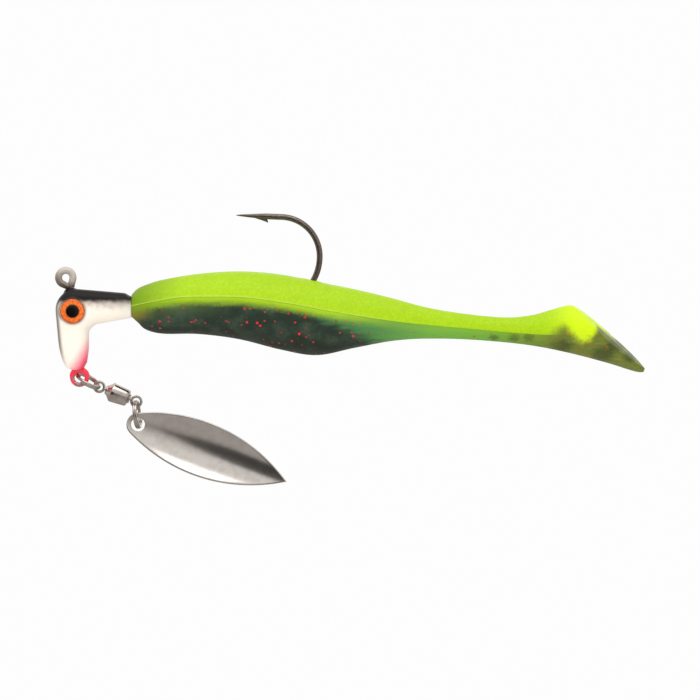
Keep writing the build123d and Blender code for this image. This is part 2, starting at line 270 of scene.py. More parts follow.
class Bar:
    """A round bar grown from its last end face by extruding, spinning and scaling it."""

    def __init__(self, name, start, direction, radius, sides=24):
        nothing_selected()
        self.end = Vector(start)
        self.direction = Vector(direction).normalized()
        self.radius = radius
        bpy.ops.mesh.primitive_circle_add(
            vertices=sides,
            radius=radius * MM,
            fill_type="NGON",
            location=self.end * MM,
            rotation=self.direction.to_track_quat("Z", "Y").to_euler(),
        )
        self.piece = bpy.context.active_object
        self.piece.name = name
        bpy.ops.object.transform_apply(location=True, rotation=True, scale=True)
        bpy.ops.object.mode_set(mode="EDIT")
        bpy.ops.mesh.select_all(action="SELECT")

    def run(self, length, radius=None):
        """Straight on, to this radius."""
        step = self.direction * length
        bpy.ops.mesh.extrude_region_move(TRANSFORM_OT_translate={"value": step * MM})
        self.end = self.end + step
        if radius is not None:
            size = radius / self.radius
            bpy.ops.transform.resize(value=(size, size, size), center_override=self.end * MM)
            self.radius = radius
        return self

    def bend(self, centre, axis, degrees, steps):
        """Round a centre, turning left about the axis."""
        centre = Vector(centre)
        turn = Matrix.Rotation(radians(degrees), 3, Vector(axis))
        # spin turns the other way round its axis
        bpy.ops.mesh.spin(
            steps=steps,
            angle=-radians(degrees),
            center=centre * MM,
            axis=axis,
            use_auto_merge=False,
        )
        self.end = centre + turn @ (self.end - centre)
        self.direction = turn @ self.direction
        return self

    def done(self, sharp=40):
        bpy.ops.object.mode_set(mode="OBJECT")
        return settle(self.piece, sharp)


def skin(name, rings):
    """A closed skin through rings of points, one ring after another."""
    rings = np.asarray(rings, float)
    count, around = rings.shape[:2]
    points = [tuple(p) for p in rings.reshape(-1, 3) * MM]
    faces = []
    for i in range(count - 1):
        for j in range(around):
            k = (j + 1) % around
            here, beyond = i * around, (i + 1) * around
            faces.append((here + j, here + k, beyond + k, beyond + j))
    faces.append(tuple(reversed(range(around))))
    faces.append(tuple((count - 1) * around + j for j in range(around)))
    mesh = bpy.data.meshes.new(name)
    mesh.from_pydata(points, [], faces)
    piece = bpy.data.objects.new(name, mesh)
    bpy.context.scene.collection.objects.link(piece)
    return settle(piece, 60)


def along(angle):
    """The direction in the XZ plane at this angle above +X."""
    return Vector((cos(radians(angle)), 0, sin(radians(angle))))


def joint_place(name):
    """Where a joint is, in millimetres."""
    return Vector(joints[name]["pos_m"]) / MM


def node_middle(name):
    """The middle of a node's box, in millimetres."""
    low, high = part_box(name)
    return (low + high) / 2 / MM


def node_axes(name):
    """A node's middle, and its directions from the longest to the thinnest."""
    points = np.array([v.co for v in nodes[name].data.vertices]) / MM
    middle = (points.max(0) + points.min(0)) / 2
    spread = np.linalg.svd(points - points.mean(0), full_matrices=False)[2]
    return Vector(middle), [Vector(row) for row in spread]


# ---------------------------------------------------------------- hook

hook_wire_radius = 0.52
stem_angle = -65
stem_start_run = 2.0
heel_radius = 1.3
shank_z = -4.9
shank_end_x = 35.4
lower_bend_radius = 8.6
upper_bend_radius = 6.8
upper_bend_turn = 87.8
point_straight = 2.7
point_cone = 4.9
point_steps = 8
point_root_radius = 0.50
point_end_radius = 0.07
left = (0, -1, 0)

stem_way = along(stem_angle)
stem_start = stem_way * stem_start_run
stem_length = (shank_z - stem_start.z) / stem_way.z
heel_corner = stem_start + stem_way * stem_length
half_turn = radians(-stem_angle / 2)
heel_setback = heel_radius * sin(half_turn) / cos(half_turn)
heel_start = heel_corner - stem_way * heel_setback
heel_centre = heel_start + along(stem_angle + 90) * heel_radius

hook_bar = Bar("hook_wire", stem_start, stem_way, hook_wire_radius)
hook_bar.run((heel_start - stem_start).length)
hook_bar.bend(heel_centre, left, -stem_angle, 8)
hook_bar.run(shank_end_x - hook_bar.end.x)
hook_bar.bend((shank_end_x, 0, shank_z + lower_bend_radius), left, 90, 28)
upper_centre = hook_bar.end - Vector((upper_bend_radius, 0, 0))
hook_bar.bend(upper_centre, left, upper_bend_turn, 26)
hook_bar.run(point_straight)
hook_bar.run(0.25, point_root_radius)
for step in range(1, point_steps + 1):
    share = step / point_steps
    radius = point_root_radius * (1 - share) ** 0.8 + point_end_radius * share
    hook_bar.run(point_cone / point_steps, radius)
hook_bar.run(0.09, 0.025)
hook_wire = hook_bar.done()

# the line eye: the wire's end rises from the head, goes round, and crosses back under
line_eye_radius = 1.25
line_eye_wire = 0.62
line_eye_start_angle = -15
line_eye_turn = 259
eye_end_run = 1.55
eye_end_way = along(line_eye_start_angle + 90)
eye_end = along(line_eye_start_angle) * line_eye_radius - eye_end_way * eye_end_run
eye_bar = Bar("line_eye", eye_end, eye_end_way, line_eye_wire)
eye_bar.run(eye_end_run)
eye_bar.bend((0, 0, 0), left, line_eye_turn, 52)
eye_bar.run(0.9, 0.56).run(1.2, 0.54)
line_eye = eye_bar.done()

# the barb is raised from the wire with a chisel cut
barb_behind_cone = 1.9
barb_length = 2.25
barb_foot_height = 0.30
# how far back along it, the height of its edge, and its half width
barb_sections = (
    (0, 0.40, 0.10),
    (0.35, 0.62, 0.17),
    (0.7, 0.86, 0.16),
    (1.0, 1.10, 0.05),
)
barb_outline = ((-1, 0.0), (-0.8, 0.8), (0, 1.0), (0.8, 0.8), (1, 0.0), (0, -0.4))
barb_root = upper_centre + along(upper_bend_turn) * upper_bend_radius
point_way = along(90 + upper_bend_turn)
point_side = along(upper_bend_turn)
barb_from = barb_root + point_way * (point_straight + barb_behind_cone)
barb_rows = []
for share, height, width in barb_sections:
    edge = barb_from - point_way * (barb_length * share)
    foot = edge + point_way * (0.25 * share)
    ring = []
    for dy, dh in barb_outline:
        rise = barb_foot_height + (height - barb_foot_height) * max(dh, 0)
        side = Vector((0, dy * width, 0)) - point_side * rise
        ring.append((foot if dh <= 0 else edge) + side)
    barb_rows.append(ring)
barb = skin("barb", barb_rows)
hook = joined("hook_steel_wire", [hook_wire, line_eye, barb])

# ---------------------------------------------------------------- cast head


def copy_of(name, new_name):
    """A merged copy of a CAD node's mesh."""
    piece = bpy.data.objects.new(new_name, nodes[name].data.copy())
    bpy.context.scene.collection.objects.link(piece)
    only(piece)
    bpy.ops.object.mode_set(mode="EDIT")
    bpy.ops.mesh.select_all(action="SELECT")
    bpy.ops.mesh.remove_doubles(threshold=1e-7)
    bpy.ops.object.mode_set(mode="OBJECT")
    return piece


def smooth_step(share):
    """Eases from 0 to 1."""
    share = min(max(share, 0), 1)
    return share * share * (3 - 2 * share)


head = copy_of("jig_head", "cast_head")
mound = Bar("paint_mound", (0.95, 0, -3.3), (-0.08, 0, 1), 1.5, 40)
mound.run(0.6, 1.38).run(0.4, 1.18).run(0.3, 0.95).run(0.2, 0.62)
head = joined("cast_head", [head, mound.done()])
with_modifier(head, "REMESH", mode="VOXEL", voxel_size=0.16 * MM)
with_modifier(head, "SMOOTH", factor=0.5, iterations=4)
# the chin draws in at its waist, and the neck's upper end is rounded over
waist_z = -14.9
waist_reach = 1.9
waist_share = 0.15
chin_middle_x = 1.75
neck_drop = 0.45
for vertex in head.data.vertices:
    x, _, z = vertex.co / MM
    waist = np.exp(-(((z - waist_z) / waist_reach) ** 2))
    vertex.co.x += (chin_middle_x - x) * waist_share * waist * MM
    at_neck_end = smooth_step((x - 10.1) / 1.3) * smooth_step((z + 4.4) / 1.4)
    vertex.co.z -= neck_drop * at_neck_end * MM
only(head)
bpy.ops.object.shade_smooth()
# the paint, and a painted shade along the front edge, go by which way the surface faces
normals = np.array([v.normal for v in head.data.vertices], np.float32)
facing = head.data.attributes.new("facing", "FLOAT_VECTOR", "POINT")
facing.data.foreach_set("vector", normals.ravel())

# ---------------------------------------------------------------- eyes

eye_x = 1.32
eye_z = -5.87


def eye_disc(name, node, side, profile, sides):
    """A turned disc that follows a node's seat: (radius, share of the node's height)."""
    low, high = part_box(node)
    seat = (low.y if side > 0 else high.y) / MM
    height = (high.y - low.y) / MM
    middle = node_middle(node)
    bar = Bar(name, (middle.x, seat, middle.z), (0, side, 0), profile[0][0], sides)
    level = 0
    for radius, share in profile[1:]:
        bar.run((share - level) * height, radius)
        level = share
    return bar.done()


iris_profile = (
    (2.13, 0),
    (2.15, 0.45),
    (2.13, 0.66),
    (2.06, 0.82),
    (1.93, 0.93),
    (1.72, 0.98),
    (1.15, 1.0),
)
pupil_profile = (
    (1.12, 0),
    (1.13, 0.72),
    (1.11, 0.82),
    (1.04, 0.90),
    (0.90, 0.955),
    (0.66, 0.985),
    (0.34, 1.0),
)
irises, pupils = [], []
for side_name, side in (("near", -1), ("far", 1)):
    iris = eye_disc("iris_foil_" + side_name, "iris_" + side_name, side, iris_profile, 72)
    pupil = eye_disc("pupil_" + side_name + "_dome", "pupil_" + side_name, side, pupil_profile, 56)
    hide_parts("iris_" + side_name)
    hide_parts("pupil_" + side_name)
    irises.append(iris)
    pupils.append(pupil)

# ---------------------------------------------------------------- eyelet under the chin

eyelet_place = joint_place("front_ring_swing")
eyelet_radius = 1.28
eyelet_wire = 0.39
loop = Bar("eyelet_loop", eyelet_place + along(90) * eyelet_radius, along(180), eyelet_wire, 18)
loop.bend(eyelet_place, left, 359.5, 64)
eyelet_loop = loop.done()
# the paint is thicker on the upper half of the ring
for vertex in eyelet_loop.data.vertices:
    out = vertex.co / MM - eyelet_place
    core = Vector((out.x, 0, out.z)).normalized() * eyelet_radius
    thicker = 1 + 0.42 * smooth_step(out.z / 1.2 + 0.25)
    vertex.co = (eyelet_place + core + (out - core) * thicker) * MM
# paint has built up round the two wires where they leave the chin
neck_low = eyelet_place + Vector((-0.30, 0, eyelet_radius - 0.22))
neck = Bar("eyelet_neck", neck_low, (0, 0, 1), 0.78, 32)
neck.run(0.10, 1.00).run(0.15, 1.10).run(0.35, 1.12).run(0.5, 1.30).run(0.6, 1.7)
eyelet_neck = neck.done(60)
for vertex in eyelet_neck.data.vertices:
    vertex.co.y *= 0.6
eyelet = joined("spinner_loop", [eyelet_loop, eyelet_neck])

# ---------------------------------------------------------------- split rings

split_ring_radius = 2.25
split_wire = 0.26


def split_ring(name, node):
    """Nearly two turns of wire, side by side, with its cut ends dressed flat."""
    middle, ways = node_axes(node)
    nothing_selected()
    bpy.ops.mesh.primitive_circle_add(
        vertices=16, radius=split_wire * MM, fill_type="NGON", rotation=(pi / 2, 0, 0)
    )
    ring = bpy.context.active_object
    ring.name = name
    bpy.ops.object.transform_apply(location=True, rotation=True, scale=True)
    for vertex in ring.data.vertices:
        vertex.co.x += split_ring_radius * MM
        vertex.co.z -= split_wire * MM
    turns = 1.94
    only(ring)
    with_modifier(
        ring,
        "SCREW",
        angle=turns * 2 * pi,
        screw_offset=2 * split_wire * MM * 1.02,
        steps=150,
        render_steps=150,
        axis="Z",
        use_merge_vertices=False,
    )
    bpy.ops.object.mode_set(mode="EDIT")
    bpy.ops.mesh.select_all(action="DESELECT")
    bpy.ops.mesh.select_non_manifold()
    bpy.ops.mesh.edge_face_add()
    bpy.ops.object.mode_set(mode="OBJECT")
    normal = ways[2]
    across = ways[2].cross(Vector((0, 0, 1))).normalized()
    third = normal.cross(across)
    turn = Matrix((across, third, normal)).transposed().to_4x4()
    ring.data.transform(Matrix.Translation(middle * MM) @ turn)
    return settle(ring)


front_ring = split_ring("front_ring_coil", "front_split_ring")
rear_ring = split_ring("rear_ring_coil", "rear_split_ring")

# ---------------------------------------------------------------- swivel

front_link = joint_place("front_eye_swing")
rear_link = joint_place("rear_ring_swing")
swivel_way = (rear_link - front_link).normalized()
link_to_barrel = 1.18
barrel_length = (rear_link - front_link).length - 2 * link_to_barrel


def swivel_eye(name, link, way):
    """A loop of wire, its stem, and the head that turns inside the barrel."""
    hole_radius, wire = 0.62, 0.24
    ring_radius = hole_radius + wire
    turning = Bar(name + "_loop", link - way * ring_radius, Vector((0, 1, 0)).cross(way), wire, 16)
    turning.bend(link, (0, 1, 0), 359, 48)
    loop_piece = turning.done()
    post = Bar(name + "_post", link + way * (ring_radius - 0.05), way, wire, 18)
    for length in (0.10, 0.08, 0.5, 0.1):
        post.run(length, wire)
    post.run(0.02, 0.62).run(0.4, 0.62)
    return joined(name, [loop_piece, post.done()])


front_eye = swivel_eye("swivel_front_loop", front_link, swivel_way)
rear_eye = swivel_eye("swivel_rear_loop", rear_link, -swivel_way)

# the barrel: (distance from its front end, radius)
body_length = barrel_length - 0.40
nose_length = 1.15
barrel_profile = (
    (0.05, 0.62),
    (0.09, 0.78),
    (0.17, 0.83),
    (0.30, 0.84),
    (0.36, 0.90),
    (0.75, 1.27),
    (nose_length - 0.10, 1.63),
    (nose_length + 0.05, 1.715),
    (nose_length + 0.20, 1.73),
    (nose_length + 0.60, 1.71),
    (nose_length + 1.50, 1.63),
    (body_length - 0.60, 1.54),
    (body_length - 0.22, 1.50),
    (body_length - 0.08, 1.46),
    (body_length, 1.38),
    (body_length + 0.10, 1.12),
    (body_length + 0.14, 0.93),
    (body_length + 0.20, 0.85),
    (body_length + 0.36, 0.84),
    (barrel_length, 0.76),
    (barrel_length + 0.005, 0.40),
)
barrel_bar = Bar("swivel_shell", front_link + swivel_way * link_to_barrel, swivel_way, 0.40, 64)
reached = 0.005
barrel_bar.run(reached, 0.58)
for distance, radius in barrel_profile:
    barrel_bar.run(distance - reached, radius)
    reached = distance
barrel = barrel_bar.done(50)

# ---------------------------------------------------------------- blade

blade_angle = -21.0
blade_length = 29.7
blade_half_width = 4.6
blade_widest_at = 14.2
blade_thickness = 0.43
blade_nose_radius = 2.0
blade_nose_angle = 118
blade_hole_radius = 1.2
rear_ring_angle = -86
blade_hang = 0.50
blade_cup_radius = 7.4
blade_end_lift = 1.2
blade_way = along(blade_angle)
blade_up = along(blade_angle + 90)
link_to_blade = joint_place("blade_swing")


def circle_through(a, b, c):
    """Centre and radius of the circle through three points of a plane."""
    ax, ay, bx, by, cx, cy = *a, *b, *c
    d = 2 * (ax * (by - cy) + bx * (cy - ay) + cx * (ay - by))
    sa, sb, sc = ax * ax + ay * ay, bx * bx + by * by, cx * cx + cy * cy
    ux = (sa * (by - cy) + sb * (cy - ay) + sc * (ay - by)) / d
    uy = (sa * (cx - bx) + sb * (ax - cx) + sc * (bx - ax)) / d
    return ux, uy, sqrt((ax - ux) ** 2 + (ay - uy) ** 2)


nose_angle = radians(blade_nose_angle)
nose_x, nose_y = blade_nose_radius * cos(nose_angle), blade_nose_radius * sin(nose_angle)
blade_start = -blade_nose_radius
blade_tip = blade_start + blade_length
widest_place = (blade_start + blade_widest_at, blade_half_width)
side_circle = circle_through((nose_x, nose_y), widest_place, (blade_tip, 0))


def blade_half(place):
    """Half the blade's width at a place along it."""
    if place < nose_x:
        return sqrt(max(blade_nose_radius**2 - place**2, 0))
    x, y, r = side_circle
    return max(y + sqrt(max(r * r - (place - x) ** 2, 0)), 0)


cup_middle = blade_start + blade_length / 2
cup_curve = (blade_length / 2) ** 2 / (2 * blade_end_lift)
cup_depth = -(cup_middle**2) / (2 * cup_curve)


def blade_lift(place, off):
    """How far the sheet's near face stands towards the near side."""
    lengthwise = cup_depth + (place - cup_middle) ** 2 / (2 * cup_curve)
    radius = cup_depth + blade_cup_radius - lengthwise
    return lengthwise + radius - sqrt(max(radius**2 - off**2, 0.01))


def blade_point(origin, place, off, depth):
    """A point of the sheet: along it, across it, and this far behind its near face."""
    slope = off / blade_cup_radius
    back = Vector((0, 1, 0)) * depth * sqrt(1 - slope * slope)
    side = blade_up * (off + depth * slope)
    return origin + blade_way * place + side - Vector((0, 1, 0)) * blade_lift(place, off) + back


blade_hole_place = link_to_blade - along(rear_ring_angle) * blade_hang
blade_rows = []
edge_turns = 6
across_count = 26
lengths = [blade_start + 0.02, blade_start + 0.06, blade_start + 0.15, blade_start + 0.3]
lengths += [blade_start + 0.5 + i * (blade_length - 1.0) / 86 for i in range(87)]
lengths += [blade_tip - 0.3, blade_tip - 0.15, blade_tip - 0.06, blade_tip - 0.02]
for place in lengths:
    half = max(blade_half(place), 0.03)
    round_off = min(blade_thickness / 2, half * 0.9)
    flat = half - round_off
    ring = []
    for j in range(across_count + 1):
        ring.append((flat * (2 * j / across_count - 1), 0.0))
    for j in range(1, edge_turns):
        a = pi * j / edge_turns
        ring.append((flat + round_off * sin(a), blade_thickness / 2 * (1 - cos(a))))
    for j in range(across_count + 1):
        ring.append((flat * (1 - 2 * j / across_count), blade_thickness))
    for j in range(1, edge_turns):
        a = pi * j / edge_turns
        ring.append((-flat - round_off * sin(a), blade_thickness / 2 * (1 + cos(a))))
    blade_rows.append([blade_point(blade_hole_place, place, off, depth) for off, depth in ring])
blade = skin("leaf_blade", blade_rows)

nothing_selected()
bpy.ops.mesh.primitive_cylinder_add(
    vertices=48,
    radius=blade_hole_radius * MM,
    depth=6 * MM,
    location=blade_hole_place * MM,
    rotation=(pi / 2, 0, 0),
)
punch = bpy.context.active_object
bpy.ops.object.transform_apply(location=True, rotation=True, scale=True)
with_modifier(blade, "BOOLEAN", operation="DIFFERENCE", object=punch, solver="EXACT")
bpy.data.objects.remove(punch)
with_modifier(
    blade,
    "BEVEL",
    width=0.07 * MM,
    segments=3,
    limit_method="ANGLE",
    angle_limit=radians(55),
)
settle(blade, 60)

# ---------------------------------------------------------------- soft bait

bait_start = 11.45
bait_length = 88.9
# share along the bait of the top point, its height, the same for the bottom point, and
# the half width
bait_sections = (
    (0.000, -2.95, 0.000, -6.85, 2.15),
    (0.011, -1.95, 0.011, -7.75, 2.90),
    (0.028, -1.25, 0.028, -9.05, 3.60),
    (0.062, -0.35, 0.062, -9.75, 4.40),
    (0.130, 0.65, 0.130, -9.80, 5.00),
    (0.209, 1.08, 0.209, -10.70, 5.30),
    (0.290, 0.55, 0.290, -12.50, 5.30),
    (0.359, -0.70, 0.359, -13.47, 5.00),
    (0.434, -2.00, 0.434, -12.20, 4.10),
    (0.507, -3.55, 0.507, -11.00, 3.10),
    (0.574, -5.15, 0.574, -10.60, 2.30),
    (0.647, -6.25, 0.647, -10.70, 1.80),
    (0.730, -6.90, 0.730, -11.25, 1.80),
    (0.781, -6.48, 0.794, -12.00, 2.20),
    (0.818, -5.55, 0.861, -13.25, 3.10),
    (0.845, -4.90, 0.927, -14.80, 4.10),
    (0.858, -4.80, 0.990, -16.42, 4.60),
    (0.866, -5.20, 1.000, -15.85, 4.65),
)
parting_points = (
    (-0.080, -6.60),
    (0.022, -4.63),
    (0.111, -3.43),
    (0.201, -3.43),
    (0.290, -4.33),
    (0.383, -5.81),
    (0.520, -7.68),
    (0.650, -8.80),
    (0.801, -9.90),
    (0.930, -10.00),
    (1.050, -10.00),
)


def smooth_through(knots, values, wanted):
    """A curve through the values that doesn't overshoot between them."""
    knots, values, wanted = np.array(knots), np.array(values), np.array(wanted)
    gaps = np.diff(knots)
    slopes = np.diff(values) / gaps
    tangent = np.zeros(len(knots))
    tangent[0], tangent[-1] = slopes[0], slopes[-1]
    for i in range(1, len(knots) - 1):
        a, b = slopes[i - 1], slopes[i]
        tangent[i] = (a * gaps[i] + b * gaps[i - 1]) / (gaps[i] + gaps[i - 1])
        if a * b <= 0:
            tangent[i] *= 0.35
    spot = np.clip(np.searchsorted(knots, wanted) - 1, 0, len(gaps) - 1)
    gap = gaps[spot]
    t = (wanted - knots[spot]) / gap
    return (
        (2 * t**3 - 3 * t**2 + 1) * values[spot]
        + (t**3 - 2 * t**2 + t) * gap * tangent[spot]
        + (-2 * t**3 + 3 * t**2) * values[spot + 1]
        + (t**3 - t**2) * gap * tangent[spot + 1]
    )


section_count = len(bait_sections)
ring_places = np.unique(
    np.concatenate([np.linspace(0, 3, 22), np.linspace(3, section_count - 1, 98)])
)
section_numbers = np.arange(section_count)
columns = np.array(bait_sections).T
top_x, top_z, bottom_x, bottom_z, half_wide = [
    smooth_through(section_numbers, column, ring_places) for column in columns
]
top_x = bait_start + top_x * bait_length
bottom_x = bait_start + bottom_x * bait_length
parting_x = np.array([bait_start + share * bait_length for share, _ in parting_points])
parting_z = np.array([height for _, height in parting_points])
hook_exit = Vector((42.7, 0, -0.6))


def parting_height(x):
    return smooth_through(parting_x, parting_z, x)


rim_bow = 0.85
rim_from_ring = 15.4
rim_rings = 1.6


def section_point(i, angle):
    """A point of section i: angle 0 is its top and half a turn its bottom."""
    middle = np.array([(top_x[i] + bottom_x[i]) / 2, 0, (top_z[i] + bottom_z[i]) / 2])
    up = np.array([top_x[i] - bottom_x[i], 0, top_z[i] - bottom_z[i]]) / 2
    shoulder = np.sign(sin(angle)) * abs(sin(angle)) ** 0.94
    # the sides of the sole's rim are set back from its top and bottom
    near_rim = smooth_step((ring_places[i] - rim_from_ring) / rim_rings)
    set_back = rim_bow * near_rim * sin(angle) ** 2
    across = np.array([up[2], 0, -up[0]]) / np.hypot(up[0], up[2])
    sideways = np.array([0, -half_wide[i] * shoulder, 0])
    return middle + up * cos(angle) + sideways - across * set_back


def parting_angle(i):
    """Where section i crosses the parting line, from its top."""
    low, high = 0.02, pi - 0.02
    for _ in range(40):
        angle = (low + high) / 2
        x, _, z = section_point(i, angle)
        if z > parting_height(x):
            low = angle
        else:
            high = angle
    return (low + high) / 2


def pucker(point):
    """The skin lifts where the hook comes out of the back and dips at the wire."""
    x, y, z = point
    away = sqrt((x - hook_exit.x) ** 2 + y**2)
    if z < -3.0 or away > 4:
        return point
    lift = 0.22 * np.exp(-(((away - 1.25) / 0.5) ** 2)) - 0.35 * np.exp(-((away / 0.6) ** 2))
    return point + np.array([0, 0, lift])


outer_count = 40
seam_height = 0.10
back_rings, belly_rings = [], []
for i in range(len(ring_places)):
    at = parting_angle(i)
    middle = np.array([(top_x[i] + bottom_x[i]) / 2, 0, (top_z[i] + bottom_z[i]) / 2])
    # the flash is a fine raised bead where the two colours meet
    bead_fade = float(np.clip((0.66 - ring_places[i] / section_count) / 0.1, 0.25, 1))
    back, belly = [], []
    reach = np.linspace(-1, 1, outer_count + 1)
    reach = np.sign(reach) * (1 - (1 - abs(reach)) ** 1.25)
    for share in reach:
        angle = share * at
        point = section_point(i, angle)
        below = at * (1 - abs(share)) * half_wide[i]
        outward = (point - middle) / max(np.linalg.norm(point - middle), 1e-6)
        bead = seam_height * bead_fade * np.exp(-((below / 0.22) ** 2))
        back.append(pucker(point + outward * bead))
    for share in reach:
        angle = pi - share * (pi - at)
        belly.append(section_point(i, angle))
    back_rings.append(back)
    belly_rings.append(belly)


nose_steps = ((0.80, -0.02), (0.93, -0.01))
sole_steps = (
    (0.985, 0.05),
    (0.95, 0.12),
    (0.87, 0.22),
    (0.74, 0.34),
    (0.56, 0.44),
    (0.34, 0.50),
    (0.12, 0.52),
)


def capped(rings):
    """Rounds the two ends over: the nose by a little and the sole of the tail by a dome."""
    rings = [np.array(ring) for ring in rings]
    nose = np.array([bait_start, 0, (top_z[0] + bottom_z[0]) / 2])
    front = [nose + (rings[0] - nose) * size + np.array([-out, 0, 0]) for size, out in nose_steps]
    sole = np.array([(top_x[-1] + bottom_x[-1]) / 2, 0, (top_z[-1] + bottom_z[-1]) / 2])
    drop = np.array([top_x[-1] - bottom_x[-1], 0, top_z[-1] - bottom_z[-1]])
    way = np.array([-drop[2], 0, drop[0]]) / np.linalg.norm(drop)
    if way[0] < 0:
        way = -way
    end = [sole + (rings[-1] - sole) * size + way * out for size, out in sole_steps]
    return front + rings + end


bait_back = skin("bait_back_skin", capped(back_rings))
bait_belly = skin("bait_belly_skin", capped(belly_rings))


def remember_place(piece):
    """Keeps each point's straight place and its depth below the parting line."""
    mesh = piece.data
    points = np.array([v.co for v in mesh.vertices]) / MM
    place = mesh.attributes.new("straight_place", "FLOAT_VECTOR", "POINT")
    place.data.foreach_set("vector", points.astype(np.float32).ravel())
    below = mesh.attributes.new("below_seam", "FLOAT", "POINT")
    depth = parting_height(points[:, 0]) - points[:, 2]
    below.data.foreach_set("value", depth.astype(np.float32))


for piece in (bait_back, bait_belly):
    remember_place(piece)

# ---------------------------------------------------------------- finishes

head_paint = Finish(
    "head_paint", Coat_Weight=0.06, Coat_Roughness=0.2, IOR=1.35, Specular_IOR_Level=0.25
)
place = head_paint.place()
x, _, z = head_paint.parts(place)
grain = head_paint.noise(place, 1.3, 4.0)
fine = head_paint.noise(place, 9.0, 3.0)
cloud = (grain - 0.5) * 1.6 + (fine - 0.5) * 0.5
normal_x, _, normal_z = head_paint.parts(head_paint.attribute("facing", "Vector"))
base = head_paint.mix(fine.ramp(0.35, 0.75), colour("FCF1E2"), colour("FFFAF1"))
haze = (z + cloud * 0.9 + (x - 8.0) * 0.08).ramp(-6.3, -3.9)
base = head_paint.mix(haze * 0.7, base, colour("857670"))
dark = (z + cloud * 0.4).ramp(-4.75, -3.7)
over = normal_z.ramp(0.25, 0.7) * z.ramp(-5.0, -4.0)
dark = dark.math("MAXIMUM", dark, over)
corner = (normal_z - normal_x).ramp(0.5, 1.1) * z.ramp(-5.2, -3.6)
dark = dark.math("MAXIMUM", dark, corner)
base = head_paint.mix(dark * 0.98, base, colour("0D0B0A"))
# painted shade: the forward-facing surface of the chin is darkened along its front edge
front_edge_painted_shade = (0.0 - normal_x).ramp(0.5, 0.92) * z.ramp(-16.8, -11.0)
base = head_paint.mix(front_edge_painted_shade * 0.8, base, colour("2A2322"))
neck_end = x.ramp(9.6, 11.2) * (1 - z.ramp(-5.4, -4.2))
base = head_paint.mix(neck_end * 0.5, base, colour("F7F4EC"))
down = (x - 2.0) * 1.6 - z
blush = (down + cloud * 0.5).ramp(12.2, 16.8) * (1 - z.ramp(-10.5, -8.2))
base = head_paint.mix(blush, base, colour("FF7F98"))
hot = (down + cloud * 0.3).ramp(15.8, 17.6) * (1 - z.ramp(-13.5, -11.5))
base = head_paint.mix(hot * 0.8, base, colour("FA0A28"))
from_eye = head_paint.stretched(head_paint.moved(place, -eye_x, 0, -eye_z), 1, 0, 1)
eye_distance = head_paint.node(
    "VectorMath", {"operation": "LENGTH"}, {0: from_eye}, output="Value"
)
shade_round_eye = 1 - eye_distance.ramp(2.18, 2.62)
base = head_paint.mix(shade_round_eye * 0.45, base, colour("4A3A34"))
head_paint.set(Base_Color=base, Roughness=0.26 + fine * 0.16)
head_paint.bump(fine * 0.5 + grain, 0.05)

hook_steel = Finish("hook_steel", Coat_Weight=0.15)
place = hook_steel.place()
streak = hook_steel.noise(hook_steel.stretched(place, 0.5, 2.5, 2.5), 2.4, 4.0)
speck = hook_steel.noise(place, 7.0, 3.0)
base = hook_steel.mix(streak.ramp(0.3, 0.72), colour("625650"), colour("857A72"))
base = hook_steel.mix(speck.ramp(0.62, 0.8) * 0.3, base, colour("3A302A"))
x, _, z = hook_steel.parts(place)
# the line eye gets painted light and shade: lighter towards its upper right and darker towards its
# lower left, broken by specks
pressed = (1 - x.ramp(2.2, 3.0)) * z.ramp(-1.9, -0.6)
painted_light_share = (x * 0.7 + z + speck * 0.6).ramp(-1.6, 1.2)
line_eye_painted_light = hook_steel.mix(painted_light_share, colour("84766C"), colour("DBD1C6"))
base = hook_steel.mix(pressed * 0.85, base, line_eye_painted_light)
hook_steel.set(
    Base_Color=base,
    Roughness=0.18 + streak * 0.16 + pressed * 0.3,
    Metallic=0.92 - pressed * 0.5,
)
hook_steel.bump(streak, 0.002)

eyelet_paint = Finish("eyelet_paint", Coat_Weight=0.5)
place = eyelet_paint.place()
x, _, z = eyelet_paint.parts(place)
chip = (eyelet_paint.noise(place, 1.6, 4.0) + (z + 17.6) * -0.10).ramp(0.54, 0.64)
base = eyelet_paint.mix(eyelet_paint.noise(place, 5.0), colour("F20F2E"), colour("FF4A66"))
base = eyelet_paint.mix(chip, base, colour("B9ACA6"))
eyelet_paint.set(Base_Color=base, Metallic=chip * 0.95, Roughness=0.32 - chip * 0.12)
eyelet_paint.bump(chip * -1.0, 0.03)

iris_foil = Finish("iris_paint", Coat_Weight=0.5, Coat_Roughness=0.05)
place = iris_foil.place()
x, _, z = iris_foil.parts(iris_foil.moved(place, -eye_x, 0, -eye_z))
out = (x * x + z * z) ** 0.5
mottle = iris_foil.noise(place, 2.6, 5.0, 0.65)
flecks = iris_foil.node("TexVoronoi", None, {"Vector": place, "Scale": 3.4}, output="Distance")
base = iris_foil.mix(mottle.ramp(0.36, 0.66), colour("FA7C1A"), colour("E2480A"))
base = iris_foil.mix(flecks.ramp(0.35, 0.75) * 0.4, base, colour("FF9A38"))
base = iris_foil.mix((out + (mottle - 0.5) * 0.7).ramp(1.70, 2.20) * 0.7, base, colour("7A260C"))
base = iris_foil.mix((1.36 - out).ramp(0.0, 0.24) * 0.6, base, colour("5A1A08"))
iris_foil.set(Base_Color=base, Metallic=mottle * 0.15, Roughness=0.30 + flecks * 0.15)
iris_foil.bump(mottle, 0.03)

pupil_gloss = Finish("pupil_paint", Coat_Weight=0.1, Coat_Roughness=0.05, Specular_IOR_Level=0.25)
place = pupil_gloss.place()
dust = pupil_gloss.noise(place, 6.0, 4.0)
pupil_gloss.set(
    Base_Color=pupil_gloss.mix(dust.ramp(0.55, 0.85), colour("040303"), colour("0C0A09")),
    Roughness=0.16 + dust * 0.2,
)
pupil_gloss.bump(dust, 0.008)


